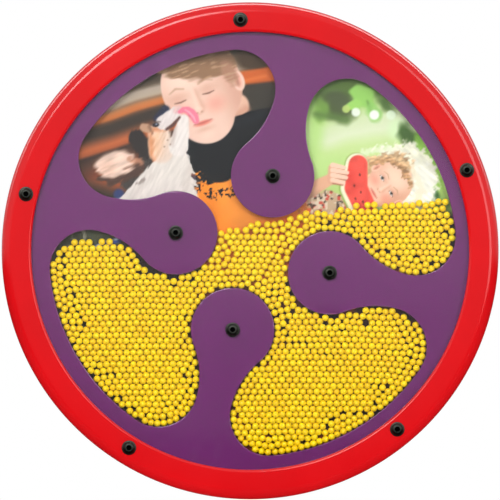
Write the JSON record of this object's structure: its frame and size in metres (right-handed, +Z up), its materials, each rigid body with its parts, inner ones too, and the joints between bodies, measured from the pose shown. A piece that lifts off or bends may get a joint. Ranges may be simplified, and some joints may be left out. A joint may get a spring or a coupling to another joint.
{
  "type": "wall bead wheel",
  "caption": "Wall-mounted play wheel that turns on a hidden hub, with loose beads between a clear window and a printed picture, round lobed arms.",
  "frame": {"origin": "centre of the wall flange's rear face, on the wheel's axis", "axes": "+Y along the axle into the wall, so the front faces -Y; +Z up; +X to the right as seen from the front"},
  "size_m": [0.4572, 0.0584, 0.4572],
  "materials": {
    "red_plastic": "glossy",
    "purple_plastic": "satin",
    "clear_plastic": "clear",
    "print": "printed",
    "yellow_beads": "satin",
    "black_steel": "black oxide",
    "zinc_steel": "zinc plated",
    "bearing_steel": "ground",
    "brass": "turned",
    "cast_aluminium": "cast and turned"
  },
  "bodies": {
    "wall_mount": {"wall_flange": "cast_aluminium", "axle_lock_screw": "black_steel", "bearing_spacer": "zinc_steel", "bearing_circlip": "black_steel", "rear_bearing_outer_race": "bearing_steel", "front_bearing_outer_race": "bearing_steel"},
    "wheel": {"axle": "zinc_steel", "hub_bolt_1": "zinc_steel", "hub_bolt_2": "zinc_steel", "hub_bolt_3": "zinc_steel", "hub_bolt_4": "zinc_steel", "hub_nut_1": "zinc_steel", "hub_nut_2": "zinc_steel", "hub_nut_3": "zinc_steel", "hub_nut_4": "zinc_steel", "rear_bearing_inner_race": "bearing_steel", "front_bearing_inner_race": "bearing_steel", "ring_insert_1": "brass", "ring_insert_2": "brass", "ring_insert_3": "brass", "ring_insert_4": "brass", "ring_insert_5": "brass", "lobe_insert_1": "brass", "lobe_insert_2": "brass", "lobe_insert_3": "brass", "lobe_insert_4": "brass", "ring_screw_1": "black_steel", "ring_screw_2": "black_steel", "ring_screw_3": "black_steel", "ring_screw_4": "black_steel", "ring_screw_5": "black_steel", "lobe_screw_1": "black_steel", "lobe_screw_2": "black_steel", "lobe_screw_3": "black_steel", "lobe_screw_4": "black_steel", "back_panel": "red_plastic", "picture_disc": "print", "pocket_plate": "purple_plastic", "bead_fill": "yellow_beads", "window": "clear_plastic", "front_ring": "red_plastic"},
    "rear_ball_cage": {"rear_bearing_ball_cage": "bearing_steel"},
    "front_ball_cage": {"front_bearing_ball_cage": "bearing_steel"}
  },
  "joints": [
    {"name": "wheel_spin", "type": "hinge", "parent": "wall_mount", "child": "wheel", "pos_m": [0, -0.0275, 0], "axis": [0, 1, 0], "continuous": true},
    {"name": "rear_cage_turn", "type": "hinge", "parent": "wall_mount", "child": "rear_ball_cage", "pos_m": [0, -0.0085, 0], "axis": [0, 1, 0], "continuous": true},
    {"name": "front_cage_turn", "type": "hinge", "parent": "wall_mount", "child": "front_ball_cage", "pos_m": [0, -0.0217, 0], "axis": [0, 1, 0], "continuous": true}
  ],
  "couplings": [
    {"joint": "rear_cage_turn", "follows": "wheel_spin", "ratio": 0.4346},
    {"joint": "front_cage_turn", "follows": "wheel_spin", "ratio": 0.4346}
  ]
}
